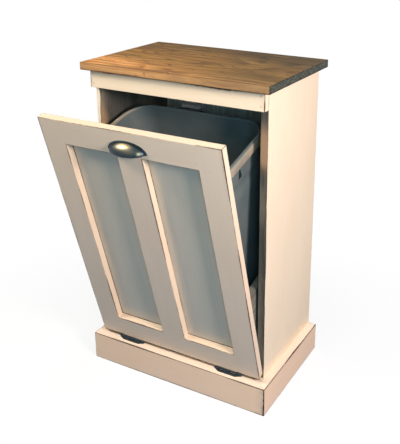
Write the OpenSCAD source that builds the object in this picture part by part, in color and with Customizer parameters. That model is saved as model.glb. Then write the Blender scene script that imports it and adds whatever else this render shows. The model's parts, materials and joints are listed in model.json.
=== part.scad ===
// Tilt-out trash cabinet. A painted pine carcass on a baseboard, with a stained top.
// Its door hangs on two hinges along its bottom edge and carries a wooden tray,
// which holds a plastic trash can. It is drawn tilted open, with the tray against its stops.
// Millimetres, +Z up, front towards -Y. The origin is on the floor, under the middle of the
// overall box with the door open.

/* [Boards] */
// Thickness of the pine boards
board_t = 19; // [16:0.5:22]
// Thickness of the baseboards
base_t = 22; // [16:0.5:25]
// Thickness of the plywood sheets
sheet_t = 6; // [4:0.5:9]

/* [Carcass] */
// Width over the two side panels
carcass_w = 475; // [440:1:600]
// Depth of a side panel
carcass_d = 286; // [270:1:360]
// Height to the underside of the top
carcass_h = 808; // [780:1:900]
// Height of the baseboards, the bottom rail and the shelf's upper face
base_h = 76; // [70:1:100]
// Height of the front rail under the top
front_rail_h = 44; // [38:1:64]
// Height of the back rail under the top
back_rail_h = 63; // [40:1:70]
// Side of the square cleats that carry the top and the shelf
cleat_s = 19; // [16:1:22]

/* [Top] */
// Thickness of the top
top_t = 19; // [16:0.5:30]
// Reach of the top past the side panels' front edges
top_front = 34; // [25:1:45]
// Reach of the top past each side
top_side = 18; // [10:1:30]
// Reach of the top past the back
top_back = 13; // [0:1:20]

/* [Door] */
// How far the door's top leans out of the upright when open, in degrees
tilt_open = 15.8; // [10:0.1:17]
// Gap under the closed door
door_gap_low = 9; // [8.4:0.1:10]
// Gap over the closed door
door_gap_high = 3; // [2:0.5:6]
// Gap between the closed door's back and the side panels
door_standoff = 2; // [1.6:0.1:3]
// Width of the two stiles
stile_w = 63; // [50:1:75]
// Width of the top rail
door_rail_top_w = 62; // [58:1:75]
// Width of the bottom rail
door_rail_low_w = 66; // [58:1:80]
// Width of the middle mullion
mullion_w = 66; // [50:1:80]
// How far the back sheet laps onto the frame
sheet_lap = 12; // [10:0.5:14]

/* [Hinges] */
// From the door's side edge to the middle of a hinge
hinge_inset = 90; // [60:1:120]
// Length of the hinge barrel
barrel_l = 76; // [66:1:90]
// Length of the front edge of the wing on the baseboard
wing_front_l = 48; // [40:1:56]
// From the pin's axis to the front edge of the wing
wing_reach = 11.5; // [10.8:0.1:13]
// From the pin's axis to the back edge of the leaf under the door
leaf_reach = 14; // [12.5:0.5:16]
// Thickness of a hinge leaf
leaf_t = 2; // [1.5:0.1:2.2]
// Outer radius of a knuckle
knuckle_r = 3.3; // [3:0.1:3.6]
// Number of knuckles
knuckles = 5; // [3:2:7]
// Radius of the hinge pin
pin_r = 1.5; // [1.2:0.1:1.6]
// From the closed door's front face back to the pin's axis
pin_inset = 3; // [1:0.5:5]

/* [Cup pull] */
// Half length of the cup, along the door
cup_half_l = 46; // [40:1:60]
// Radius of the cup, which is its height and its projection
cup_r = 22; // [18:0.5:26]
// Thickness of the cup's wall
cup_wall = 1.8; // [1.2:0.1:2.5]
// Width of the flange round the cup
flange_w = 5; // [3:0.5:7]
// Thickness of the flange
flange_t = 2; // [1.5:0.1:3]
// From the door's top edge down to the cup's open lower edge
cup_drop = 49; // [44:0.5:54]
// Distance between the two screws
cup_screw_gap = 76; // [64:1:84]

/* [Tray] */
// Height of the tray's sides
tray_h = 184; // [150:1:220]
// From the pin's axis up to the tray's lower edge
tray_rise = 33.5; // [30:0.5:45]
// Gap between each tray side and the side panel
tray_side_gap = 8.5; // [5:0.5:10]
// Height of the tray's back board over its bottom
tray_back_h = 64; // [40:1:100]
// Gap between the tray's back board and the can
tray_can_gap = 2; // [1:0.5:3]

/* [Trash can] */
// Height of the can
can_h = 515; // [440:1:520]
// Gap between the can's rim and each side panel
can_side_gap = 23.5; // [21:0.5:30]
// Gap between the can's rim and the sheet behind the door
can_front_gap = 4; // [3:0.5:8]
// Gap between the closed can's rim and the back panel
can_back_gap = 8; // [5:0.5:15]
// How far the wall stands in from the rim's outer face
rim_over = 7; // [5:0.5:10]
// Height of the rim's skirt
rim_h = 25; // [15:1:35]
// Thickness of the can's wall
can_wall = 2.6; // [2:0.1:3.5]
// How far each long wall leans in, from top to bottom
can_lean_side = 28; // [20:1:40]
// How far the front and back walls lean in, from top to bottom
can_lean_front = 26; // [22:1:32]
// Corner radius at the rim
can_corner_top = 60; // [45:1:75]
// Corner radius at the bottom
can_corner_low = 44; // [35:1:60]
// Height of the bag hole under the rim on each side
bag_hole_h = 26; // [20:1:32]
// Width of the bag hole
bag_hole_w = 18; // [14:1:26]

/* [Catch and stops] */
// Middle of the magnetic catch, to the right of the cabinet's middle
catch_x = 36; // [-80:1:80]
// Length of the catch
catch_l = 46; // [40:1:60]
// Depth of the catch
catch_d = 14; // [12:0.5:18]
// How far the catch hangs below the front rail
catch_hang = 21; // [18:0.5:26]
// Thickness of the strike plate on the door
strike_t = 1.2; // [1:0.1:1.5]
// Length of a stop block along the tray's side
stop_l = 50; // [40:1:70]
// Height of a stop block
stop_h = 30; // [25:1:40]
// Thickness of a stop block
stop_t = 19; // [12:0.5:22]

/* [Fasteners] */
// Shank radius of the small screws in the hinges and the catch
small_r = 1.4; // [1.2:0.1:1.5]
// Length of the small screws
small_l = 14; // [10:0.5:16]
// Shank radius of the wood screws
wood_r = 2; // [1.6:0.1:2.2]
// Length of the wood screws in the tray
wood_l = 38; // [30:1:45]
// Length of the screws that hold the tray to the door
mount_l = 32; // [28:1:36]
// Length of the screws that hold the top
top_screw_l = 32; // [26:1:34]
// Length of the screws in the stop blocks
stop_screw_l = 30; // [24:1:34]
// Shank radius of the nails in the front rail
nail_r = 0.9; // [0.7:0.1:1.2]
// Length of those nails
nail_l = 38; // [30:1:50]

/* [Clearances] */
// Gap between pieces that move past each other or rest on each other
rest_gap = 0.3; // [0.2:0.05:0.5]
// Radial clearance of the hinge pin in its knuckles
pin_clear = 0.05; // [0.03:0.01:0.1]
// Gap between neighbouring knuckles
knuckle_gap = 0.5; // [0.3:0.1:0.8]
// Radial clearance of a screw or nail in its hole
hole_clear = 0.05; // [0.03:0.01:0.1]

/* [Hidden] */
$fn = 48;
hull_fn = 32;
eps = 0.01;
cut_over = 1;

paint = [0.96, 0.87, 0.72];
shaded_paint = [0.62, 0.65, 0.60];
stain = [0.62, 0.42, 0.24];
pine = [0.66, 0.52, 0.38];
bronze = [0.14, 0.13, 0.12];
pewter = [0.36, 0.34, 0.30];
steel = [0.62, 0.62, 0.60];
plastic = [0.42, 0.43, 0.41];
catch_white = [0.80, 0.78, 0.74];

// Carcass places
half_w = carcass_w / 2;
inner_x = half_w - board_t;
inner_back = carcass_d - sheet_t;
back_rail_y = inner_back - board_t;
shelf_z = base_h - board_t;
front_rail_z = carcass_h - front_rail_h;

// Door places, from the pin's axis with the door upright: x, y back, z up
door_y = -board_t - door_standoff;
pivot_y = door_y + pin_inset;
pivot_z = base_h + door_gap_low / 2;
face_y = -pin_inset;
back_y = face_y + board_t;
sheet_y = back_y + sheet_t;
door_low = door_gap_low / 2;
door_high = front_rail_z - door_gap_high - pivot_z;
panel_low = door_low + door_rail_low_w;
panel_high = door_high - door_rail_top_w;
panel_x = half_w - stile_w;
sheet_x = panel_x + sheet_lap;

// Hinge places
hinge_x = half_w - hinge_inset;
wing_top = leaf_t - door_low;
knuckle_l = (barrel_l - (knuckles - 1) * knuckle_gap) / knuckles;
knuckle_pitch = knuckle_l + knuckle_gap;
pin_head_r = pin_r + 0.8;
pin_head_t = 1;
head_ratio = 1.75;
wing_screw_inset = 8;
leaf_screw_inset = 18;
wing_screw_x = wing_front_l / 2 - wing_screw_inset;
wing_screw_y = -(wing_reach + knuckle_r) / 2 - rest_gap;
leaf_screw_x = barrel_l / 2 - leaf_screw_inset;
leaf_screw_y = (leaf_reach + knuckle_r) / 2 + 0.8;

// Cup pull places
cup_z = door_high - cup_drop;
cup_screw_z = cup_z + 6;
post_r = 4;
post_l = 8;
cup_steps = 24;
pull_screw_r = 1.9;
pull_screw_l = board_t + 0.75 * post_l;
pull_hole_clear = 0.3;

// Trash can places
rim_w = 2 * (inner_x - can_side_gap);
rim_front = sheet_y + can_front_gap;
rim_back = inner_back - can_back_gap - pivot_y;
rim_d = rim_back - rim_front;
can_y = (rim_front + rim_back) / 2;
can_top_w = rim_w - 2 * rim_over;
can_top_d = rim_d - 2 * rim_over;
rim_lip_t = 3;
can_floor_t = 1.4 * can_wall;
bag_hole_y = -rim_d / 10;
bag_hole_z = can_h - 1.4 * rim_h;
bag_hole_r = bag_hole_w / 6;

// Tray places
tray_x = inner_x - tray_side_gap;
tray_in_x = tray_x - board_t;
tray_top = tray_rise + tray_h;
tray_floor = tray_rise + board_t;
can_z = tray_floor + rest_gap;
tray_back_start = can_y + can_top_d / 2 - can_lean_front * (1 - tray_back_h / can_h) + tray_can_gap;
tray_end = tray_back_start + board_t;
tray_front_end = sheet_y + board_t;
mount_x = panel_x + sheet_lap / 2;
mount_inset = 30;
mount_heights = [tray_floor + mount_inset, tray_top - mount_inset];
tray_screw_inset = 30;
tray_side_points = [
    [tray_front_end + tray_screw_inset, tray_rise + board_t / 2],
    [tray_back_start - tray_screw_inset, tray_rise + board_t / 2],
    [tray_front_end - board_t / 2, (tray_floor + tray_top) / 2],
    [tray_end - board_t / 2, tray_floor + tray_back_h / 2]];

// Catch and strike places
catch_tab_h = 16;
catch_tab_t = 3;
catch_top_z = front_rail_z - 0.5;
catch_low_z = front_rail_z - catch_hang;
pole_y = strike_t - door_standoff + rest_gap;
pole_t = 1.5;
pole_inset = 10;
strike_l = catch_l - 6;
strike_h = catch_hang - door_gap_high - 3;
strike_low = door_high - strike_h - 1;
catch_screw_x = catch_l / 2 - 9;
catch_screw_l = small_l - 2;

// Fastener lists: [place, turn]. A screw at turn 0 points down from its head.
wing_screws = [for (s = [-1, 1]) for (k = [-1, 1])
    [[s * hinge_x + k * wing_screw_x, wing_screw_y, wing_top], [0, 0, 0]]];
leaf_screws = [for (s = [-1, 1]) for (k = [-1, 1])
    [[s * hinge_x + k * leaf_screw_x, leaf_screw_y, door_low - leaf_t], [180, 0, 0]]];
top_screw_inset = 40;
top_screw_places = [for (s = [-1, 1]) for (y = [top_screw_inset, back_rail_y - top_screw_inset])
    [[s * (inner_x - cleat_s / 2), y, carcass_h - cleat_s], [180, 0, 0]]];
nail_places = [for (s = [-1, 1]) for (z = [front_rail_z + 11, carcass_h - 9])
    [[s * (half_w - board_t / 2), -board_t, z], [90, 0, 0]]];
catch_screw_places = [for (k = [-1, 1])
    [[catch_x + k * catch_screw_x, catch_tab_t, catch_top_z + catch_tab_h / 2 + 1], [-90, 0, 0]]];
strike_screw_places = [for (k = [-1, 1])
    [[catch_x + k * (strike_l / 2 - 6), back_y + strike_t, strike_low + strike_h / 2], [-90, 0, 0]]];
pull_screw_places = [for (k = [-1, 1])
    [[k * cup_screw_gap / 2, back_y, cup_screw_z], [-90, 0, 0]]];
mount_screw_places = [for (k = [-1, 1]) for (z = mount_heights)
    [[k * mount_x, tray_front_end, z], [-90, 0, 0]]];
tray_screw_places = [for (s = [-1, 1]) for (p = tray_side_points)
    [[s * tray_x, p[0], p[1]], [0, s * 90, 0]]];
stop_inset = 12;
stop_end = tray_end - stop_inset;
stop_low = tray_top + rest_gap;
stop_screw_places = [for (s = [-1, 1]) for (k = [-1, 1])
    [[s * (inner_x - stop_t), stop_end - stop_l / 2 + k * stop_l / 4, stop_low + stop_h / 2],
     [0, -s * 90, 0]]];

// The origin lies under the middle of the overall box, from the open door's or the
// pull's foremost point to the back edge of the top
door_reach = door_high * sin(tilt_open) - face_y * cos(tilt_open);
pull_reach = cup_z * sin(tilt_open) - face_y * cos(tilt_open) + cup_r;
origin_y = (carcass_d + top_back + pivot_y - max(door_reach, pull_reach)) / 2;

// Frames and helpers

module cabinet_place() translate([0, -origin_y, 0]) children();

module open_door() translate([0, pivot_y, pivot_z]) rotate([tilt_open, 0, 0]) children();

module door_place() cabinet_place() open_door() children();

module on_side(s) mirror([s < 0 ? 1 : 0, 0, 0]) children();

// A board from its lowest corner to its highest
module board(low, high) translate(low) cube(high - low);

module at_places(places) for (p = places) translate(p[0]) rotate(p[1]) children();

// The drive recess of a screw, sunk into the head's top at z = 0
module cross_recess(r)
    for (a = [0, 90]) rotate(a) translate([-r * 0.6, -r * 0.12, -r * 0.5]) cube([r * 1.2, r * 0.24, r]);

module flat_screw(r, l) {
    difference() {
        union() {
            translate([0, 0, -r * (head_ratio - 1)])
                cylinder(h = r * (head_ratio - 1), r1 = r, r2 = r * head_ratio);
            translate([0, 0, -l]) cylinder(h = l - r * (head_ratio - 1) + eps, r = r);
        }
        cross_recess(r * head_ratio);
    }
}

module pan_screw(r, l) {
    difference() {
        cylinder(h = r, r1 = r * 2, r2 = r * 1.6);
        translate([0, 0, r]) cross_recess(r * 1.6);
    }
    translate([0, 0, -l]) cylinder(h = l + eps, r = r);
}

// A hole for a flat screw, open a little past the head
module flat_hole(r, l) {
    c = hole_clear;
    translate([0, 0, -r * (head_ratio - 1)])
        cylinder(h = r * (head_ratio - 1) + eps, r1 = r + c, r2 = r * head_ratio + c);
    plain_hole(r, l);
}

module plain_hole(r, l) translate([0, 0, -l - hole_clear]) cylinder(h = l + cut_over, r = r + hole_clear);

module nail(r, l) {
    translate([0, 0, -1]) cylinder(h = 1, r = r * 1.7);
    translate([0, 0, -l]) cylinder(h = l, r = r);
}

module nail_hole(r, l) {
    translate([0, 0, -1]) cylinder(h = 1 + eps, r = r * 1.7 + hole_clear);
    plain_hole(r, l);
}

// Carcass

module side_panel(s) cabinet_place() color(paint) difference() {
    on_side(s) board([inner_x, 0, 0], [half_w, carcass_d, carcass_h]);
    at_places(nail_places) nail_hole(nail_r, nail_l);
    open_door() at_places(stop_screw_places) plain_hole(wood_r, stop_screw_l);
}

module side_panel_left() side_panel(-1);

module side_panel_right() side_panel(1);

module back_panel() cabinet_place() color(pine)
    board([-inner_x, inner_back, shelf_z], [inner_x, carcass_d, carcass_h]);

module bottom_shelf() cabinet_place() color(pine)
    board([-inner_x, 0, shelf_z], [inner_x, inner_back, base_h]);

module front_bottom_rail() cabinet_place() color(paint)
    board([-half_w, -board_t, 0], [half_w, 0, base_h]);

module front_top_rail() cabinet_place() color(paint) difference() {
    board([-half_w, -board_t, front_rail_z], [half_w, 0, carcass_h]);
    at_places(nail_places) nail_hole(nail_r, nail_l);
    at_places(catch_screw_places) plain_hole(small_r, catch_screw_l);
}

module back_top_rail() cabinet_place() color(pine)
    board([-inner_x, back_rail_y, carcass_h - back_rail_h], [inner_x, inner_back, carcass_h]);

module back_bottom_rail() cabinet_place() color(pine)
    board([-inner_x, back_rail_y, 0], [inner_x, inner_back, shelf_z]);

module top_board() cabinet_place() color(stain) difference() {
    board([-half_w - top_side, -top_front, carcass_h],
          [half_w + top_side, carcass_d + top_back, carcass_h + top_t]);
    at_places(top_screw_places) plain_hole(wood_r, top_screw_l);
}

module top_cleat(s) cabinet_place() color(pine) difference() {
    on_side(s) board([inner_x - cleat_s, 0, carcass_h - cleat_s], [inner_x, back_rail_y, carcass_h]);
    at_places(top_screw_places) flat_hole(wood_r, top_screw_l);
}

module top_cleat_left() top_cleat(-1);

module top_cleat_right() top_cleat(1);

module shelf_cleat(s) cabinet_place() color(pine)
    on_side(s) board([inner_x - cleat_s, 0, shelf_z - cleat_s], [inner_x, back_rail_y, shelf_z]);

module shelf_cleat_left() shelf_cleat(-1);

module shelf_cleat_right() shelf_cleat(1);

// The baseboards meet in mitres at the two front corners
module baseboard_front() cabinet_place() color(paint) difference() {
    linear_extrude(base_h) polygon([
        [-half_w, -board_t], [-half_w - base_t, -board_t - base_t],
        [half_w + base_t, -board_t - base_t], [half_w, -board_t]]);
    translate([0, pivot_y, pivot_z]) at_places(wing_screws) plain_hole(small_r, small_l);
}

module baseboard_side(s) cabinet_place() color(paint)
    on_side(s) linear_extrude(base_h) polygon([
        [half_w, -board_t], [half_w + base_t, -board_t - base_t],
        [half_w + base_t, carcass_d], [half_w, carcass_d]]);

module baseboard_left() baseboard_side(-1);

module baseboard_right() baseboard_side(1);

// Each stop block stands over the open tray's side, near its back end
module stop_block(s) door_place() color(pine) difference() {
    on_side(s) board([inner_x - stop_t, stop_end - stop_l, stop_low], [inner_x, stop_end, stop_low + stop_h]);
    at_places(stop_screw_places) flat_hole(wood_r, stop_screw_l);
}

module stop_block_left() stop_block(-1);

module stop_block_right() stop_block(1);

// Magnetic catch behind the front rail: a housing under the rail, hung from a screwed tab
module catch_body() cabinet_place() color(catch_white) difference() {
    union() {
        board([catch_x - catch_l / 2, 0, catch_low_z], [catch_x + catch_l / 2, catch_d, catch_top_z]);
        board([catch_x - catch_l / 2, 0, catch_top_z - 1],
              [catch_x + catch_l / 2, catch_tab_t, catch_top_z + catch_tab_h]);
    }
    pole_slots(hole_clear);
    at_places(catch_screw_places) plain_hole(small_r, catch_screw_l);
}

// The two steel poles stand proud of the housing towards the strike
module pole_slots(c) for (z = [catch_low_z + 5, catch_top_z - 7])
    board([catch_x - catch_l / 2 + pole_inset - c, pole_y, z - c],
          [catch_x + catch_l / 2 - pole_inset + c, catch_d - 3 + c, z + pole_t + c]);

module catch_poles() cabinet_place() color(steel) pole_slots(0);

// Hinges

// A rolled knuckle about the X axis, with its root running to the leaf
module knuckle(i, root) translate([-barrel_l / 2 + i * knuckle_pitch, 0, 0]) difference() {
    union() {
        rotate([0, 90, 0]) cylinder(h = knuckle_l, r = knuckle_r);
        translate([0, root[0], root[2]]) cube([knuckle_l, root[1] - root[0], root[3] - root[2]]);
    }
    translate([-1, 0, 0]) rotate([0, 90, 0]) cylinder(h = knuckle_l + 2, r = pin_r + pin_clear);
}

module frame_leaf(s) cabinet_place() translate([s * hinge_x, pivot_y, pivot_z]) color(bronze) {
    edge = -knuckle_r - rest_gap;
    difference() {
        translate([0, 0, -door_low]) linear_extrude(leaf_t) polygon([
            [-barrel_l / 2, edge], [-wing_front_l / 2, -wing_reach],
            [wing_front_l / 2, -wing_reach], [barrel_l / 2, edge]]);
        translate([-s * hinge_x, 0, 0]) at_places(wing_screws) flat_hole(small_r, small_l);
    }
    for (i = [0 : 2 : knuckles - 1]) knuckle(i, [edge - 0.5, -knuckle_r + leaf_t * 0.8, -door_low, 0]);
}

module hinge_frame_leaf_left() frame_leaf(-1);

module hinge_frame_leaf_right() frame_leaf(1);

module door_leaf(s) door_place() translate([s * hinge_x, 0, 0]) color(bronze) {
    edge = knuckle_r + rest_gap;
    difference() {
        board([-barrel_l / 2, edge, door_low - leaf_t], [barrel_l / 2, leaf_reach, door_low]);
        translate([-s * hinge_x, 0, 0]) at_places(leaf_screws) flat_hole(small_r, small_l);
    }
    for (i = [1 : 2 : knuckles - 2]) knuckle(i, [knuckle_r - leaf_t * 0.8, edge + 0.5, 0, door_low]);
}

module hinge_door_leaf_left() door_leaf(-1);

module hinge_door_leaf_right() door_leaf(1);

module hinge_pin(s) cabinet_place() translate([s * hinge_x, pivot_y, pivot_z]) color(bronze) {
    l = barrel_l + 2 * rest_gap;
    translate([-l / 2 - pin_head_t, 0, 0]) rotate([0, 90, 0]) cylinder(h = l + 2 * pin_head_t, r = pin_r);
    for (k = [0, 1]) mirror([k, 0, 0])
        translate([l / 2, 0, 0]) rotate([0, 90, 0]) cylinder(h = pin_head_t, r = pin_head_r);
}

module hinge_pin_left() hinge_pin(-1);

module hinge_pin_right() hinge_pin(1);

// Door

module door_stile(s) door_place() color(paint) difference() {
    on_side(s) board([panel_x, face_y, door_low], [half_w, back_y, door_high]);
    at_places(mount_screw_places) plain_hole(wood_r, mount_l);
    at_places(leaf_screws) plain_hole(small_r, small_l);
}

module door_stile_left() door_stile(-1);

module door_stile_right() door_stile(1);

module door_top_rail() door_place() color(paint) difference() {
    board([-panel_x, face_y, panel_high], [panel_x, back_y, door_high]);
    at_places(pull_screw_places) translate([0, 0, -board_t - 1])
        cylinder(h = board_t + 2, r = pull_screw_r + pull_hole_clear);
    at_places(strike_screw_places) plain_hole(small_r, small_l);
}

module door_bottom_rail() door_place() color(paint) difference() {
    board([-panel_x, face_y, door_low], [panel_x, back_y, panel_low]);
    at_places(leaf_screws) plain_hole(small_r, small_l);
}

module door_mullion() door_place() color(paint)
    board([-mullion_w / 2, face_y, panel_low], [mullion_w / 2, back_y, panel_high]);

module door_panel() door_place() color(shaded_paint) difference() {
    board([-sheet_x, back_y, panel_low - sheet_lap], [sheet_x, sheet_y, panel_high + sheet_lap]);
    at_places(mount_screw_places) plain_hole(wood_r, mount_l);
}

// Half of an ellipse, as a ring sector in radius and length
function arc_points(a, b) =
    [for (i = [0 : cup_steps]) [b * sin(180 * i / cup_steps), -a * cos(180 * i / cup_steps)]];

// The cup is a quarter turn of a half ellipse about the line along its open lower edge
module quarter_cup(a, b) rotate([0, 90, 0]) rotate([0, 0, 180])
    rotate_extrude(angle = 90, $fn = 64) polygon(arc_points(a, b));

module cup_pull() door_place() translate([0, face_y, cup_z]) color(pewter) difference() {
    union() {
        difference() {
            union() {
                quarter_cup(cup_half_l, cup_r);
                rotate([90, 0, 0]) linear_extrude(flange_t) rotate(90)
                    polygon(arc_points(cup_half_l + flange_w, cup_r + flange_w));
            }
            translate([0, 1, -1]) quarter_room();
        }
        for (k = [-1, 1]) translate([k * cup_screw_gap / 2, 0, cup_screw_z - cup_z])
            rotate([90, 0, 0]) cylinder(h = post_l, r = post_r);
    }
    for (k = [-1, 1]) translate([k * cup_screw_gap / 2, 1, cup_screw_z - cup_z])
        rotate([90, 0, 0]) cylinder(h = post_l, r = pull_screw_r + hole_clear);
}

// The hollow of the cup, which runs out past its back and its open lower edge
module quarter_room() rotate([0, 90, 0]) rotate([0, 0, 180])
    rotate_extrude(angle = 90, $fn = 64) polygon(arc_points(cup_half_l - cup_wall, cup_r - cup_wall + 1));

module strike_plate() door_place() color(steel) difference() {
    board([catch_x - strike_l / 2, back_y, strike_low],
          [catch_x + strike_l / 2, back_y + strike_t, strike_low + strike_h]);
    at_places(strike_screw_places) flat_hole(small_r, small_l);
}

// Tray on the back of the door

module tray_side(s) door_place() color(pine) difference() {
    on_side(s) board([tray_in_x, back_y, tray_rise], [tray_x, tray_end, tray_top]);
    at_places(tray_screw_places) flat_hole(wood_r, wood_l);
}

module tray_side_left() tray_side(-1);

module tray_side_right() tray_side(1);

module tray_front() door_place() color(pine) difference() {
    board([-tray_in_x, sheet_y, tray_floor], [tray_in_x, tray_front_end, tray_top]);
    at_places(tray_screw_places) plain_hole(wood_r, wood_l);
    at_places(mount_screw_places) flat_hole(wood_r, mount_l);
}

module tray_back() door_place() color(pine) difference() {
    board([-tray_in_x, tray_back_start, tray_floor], [tray_in_x, tray_end, tray_floor + tray_back_h]);
    at_places(tray_screw_places) plain_hole(wood_r, wood_l);
}

module tray_bottom() door_place() color(pine) difference() {
    board([-tray_in_x, back_y, tray_rise], [tray_in_x, tray_end, tray_floor]);
    at_places(tray_screw_places) plain_hole(wood_r, wood_l);
}

// Trash can

module rounded_slab(w, d, r, h) linear_extrude(h)
    offset(r, $fn = hull_fn) square([w - 2 * r, d - 2 * r], center = true);

// A tapered tub that grows by grow on every side, from height z0 to z1
module tub(grow, z0, z1) {
    lean = [for (z = [z0, z1]) 1 - z / can_h];
    hull() for (k = [0, 1]) translate([0, 0, [z0, z1][k] - k * eps])
        rounded_slab(can_top_w - 2 * can_lean_side * lean[k] + 2 * grow,
                     can_top_d - 2 * can_lean_front * lean[k] + 2 * grow,
                     can_corner_top + (can_corner_low - can_corner_top) * lean[k] + grow, eps);
}

module bag_hole_cut() rotate([90, 0, 90]) linear_extrude(rim_w, center = true)
    translate([bag_hole_y, bag_hole_z]) offset(bag_hole_r, $fn = hull_fn) polygon([
        [bag_hole_r - bag_hole_w / 2, bag_hole_r - bag_hole_h],
        [bag_hole_w / 2 - bag_hole_r, bag_hole_r - bag_hole_h],
        [0, -bag_hole_r]]);

module trash_can() door_place() translate([0, can_y, can_z]) color(plastic) {
    difference() {
        tub(0, 0, can_h);
        tub(-can_wall, can_floor_t, can_h + cut_over);
        bag_hole_cut();
    }
    difference() {
        translate([0, 0, can_h - rim_h]) rounded_slab(rim_w, rim_d, can_corner_top + rim_over, rim_h);
        translate([0, 0, can_h - rim_h - cut_over])
            rounded_slab(rim_w - 2 * can_wall, rim_d - 2 * can_wall,
                         can_corner_top + rim_over - can_wall, rim_h + cut_over - rim_lip_t);
        tub(-can_wall, can_h - rim_h - 2 * cut_over, can_h + cut_over);
    }
}

// Fasteners

module hinge_frame_screws() cabinet_place() translate([0, pivot_y, pivot_z]) color(bronze)
    at_places(wing_screws) flat_screw(small_r, small_l);

module hinge_door_screws() door_place() color(bronze) at_places(leaf_screws) flat_screw(small_r, small_l);

module top_screws() cabinet_place() color(steel) at_places(top_screw_places) flat_screw(wood_r, top_screw_l);

module stop_screws() door_place() color(steel) at_places(stop_screw_places) flat_screw(wood_r, stop_screw_l);

module catch_screws() cabinet_place() color(steel)
    at_places(catch_screw_places) pan_screw(small_r, catch_screw_l);

module rail_nails() cabinet_place() color(steel) at_places(nail_places) nail(nail_r, nail_l);

module pull_screws() door_place() color(steel)
    at_places(pull_screw_places) pan_screw(pull_screw_r, pull_screw_l);

module strike_screws() door_place() color(steel) at_places(strike_screw_places) flat_screw(small_r, small_l);

module tray_screws() door_place() color(steel) at_places(tray_screw_places) flat_screw(wood_r, wood_l);

module tray_mount_screws() door_place() color(steel)
    at_places(mount_screw_places) flat_screw(wood_r, mount_l);

side_panel_left();
side_panel_right();
back_panel();
bottom_shelf();
front_bottom_rail();
front_top_rail();
back_top_rail();
back_bottom_rail();
top_board();
top_cleat_left();
top_cleat_right();
shelf_cleat_left();
shelf_cleat_right();
baseboard_front();
baseboard_left();
baseboard_right();
stop_block_left();
stop_block_right();
catch_body();
catch_poles();
hinge_frame_leaf_left();
hinge_frame_leaf_right();
hinge_pin_left();
hinge_pin_right();
hinge_frame_screws();
top_screws();
stop_screws();
catch_screws();
rail_nails();
door_stile_left();
door_stile_right();
door_top_rail();
door_bottom_rail();
door_mullion();
door_panel();
cup_pull();
pull_screws();
strike_plate();
strike_screws();
hinge_door_leaf_left();
hinge_door_leaf_right();
hinge_door_screws();
tray_side_left();
tray_side_right();
tray_front();
tray_back();
tray_bottom();
tray_screws();
tray_mount_screws();
trash_can();
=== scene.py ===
"""The looks of the tilt-out trash cabinet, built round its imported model. Metres, +Z up, front towards -Y."""

import json
import math
from itertools import product

import bmesh
import bpy
from mathutils import Matrix, Vector, noise


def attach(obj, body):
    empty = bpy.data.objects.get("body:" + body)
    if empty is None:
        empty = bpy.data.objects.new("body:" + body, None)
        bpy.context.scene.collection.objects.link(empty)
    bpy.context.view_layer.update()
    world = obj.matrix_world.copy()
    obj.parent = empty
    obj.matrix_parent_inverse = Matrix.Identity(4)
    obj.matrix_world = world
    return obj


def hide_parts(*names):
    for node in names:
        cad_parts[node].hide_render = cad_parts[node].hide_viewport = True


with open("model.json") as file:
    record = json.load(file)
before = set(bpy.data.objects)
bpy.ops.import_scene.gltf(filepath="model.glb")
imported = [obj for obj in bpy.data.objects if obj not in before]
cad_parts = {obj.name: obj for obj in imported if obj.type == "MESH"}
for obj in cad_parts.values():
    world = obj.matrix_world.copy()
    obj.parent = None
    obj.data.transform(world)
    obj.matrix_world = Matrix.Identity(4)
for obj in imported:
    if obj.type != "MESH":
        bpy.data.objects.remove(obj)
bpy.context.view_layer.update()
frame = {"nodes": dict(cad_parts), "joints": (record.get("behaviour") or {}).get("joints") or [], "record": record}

MM = 0.001
RECORD = frame["record"]
BODY_OF = {n: body for body, nodes in RECORD["behaviour"]["bodies"].items() for n in nodes}
SLOT_OF = {part["node"]: part["material_slot"] for part in RECORD["subparts"]}

# The door, the tray and the can are modelled upright about the hinge pins, then tilted open
TILT = next(j for j in frame["joints"] if j["name"] == "door_tilt")
UPRIGHT = Matrix.Identity(4)
OPEN = Matrix.Translation(TILT["pos_m"]) @ Matrix.Rotation(-math.radians(TILT["range_deg"][0]), 4, "X")

X, Y, Z = 0, 1, 2
LOW, HIGH = 0, 1
FACES = {"left": (X, LOW), "right": (X, HIGH), "front": (Y, LOW), "back": (Y, HIGH),
         "under": (Z, LOW), "over": (Z, HIGH)}
# How near a point has to be to lie on a face or an arris
TOUCH = 0.01 * MM


def extent(node, place=UPRIGHT):
    """The lowest and highest corner of a CAD node, in the upright directions of its place."""
    back = place.inverted()
    points = [back @ v.co for v in frame["nodes"][node].data.vertices]
    return (Vector(min(p[a] for p in points) for a in range(3)),
            Vector(max(p[a] for p in points) for a in range(3)))


# Shader helpers

def add(tree, kind, inputs=None, **settings):
    """A node with its settings, and each named input linked or set."""
    made = tree.nodes.new(kind)
    for key, value in settings.items():
        setattr(made, key, value)
    for key, value in (inputs or {}).items():
        if isinstance(value, bpy.types.NodeSocket):
            tree.links.new(value, made.inputs[key])
        else:
            made.inputs[key].default_value = value
    return made


def maths(tree, operation, a, b=0.0, c=0.0, clamp=False):
    return add(tree, "ShaderNodeMath", {0: a, 1: b, 2: c}, operation=operation, use_clamp=clamp).outputs[0]


def times(tree, a, b):
    return maths(tree, "MULTIPLY", a, b)


def blend(tree, share, a, b, mode="MIX"):
    """The colour a where share is 0 and b where it is 1."""
    made = add(tree, "ShaderNodeMix", {0: share, 6: a, 7: b}, data_type="RGBA", blend_type=mode)
    return made.outputs[2]


def toned(tree, share, colour, tone):
    """The colour, multiplied by the tone where share is 1."""
    return blend(tree, share, colour, blend(tree, 1.0, colour, tone, "MULTIPLY"))


def between(tree, value, low, high, to_low=0.0, to_high=1.0, smooth=True):
    """Value taken from its own range to another."""
    return add(tree, "ShaderNodeMapRange",
               {"Value": value, "From Min": low, "From Max": high, "To Min": to_low, "To Max": to_high},
               interpolation_type="SMOOTHSTEP" if smooth else "LINEAR", clamp=True).outputs[0]


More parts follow.
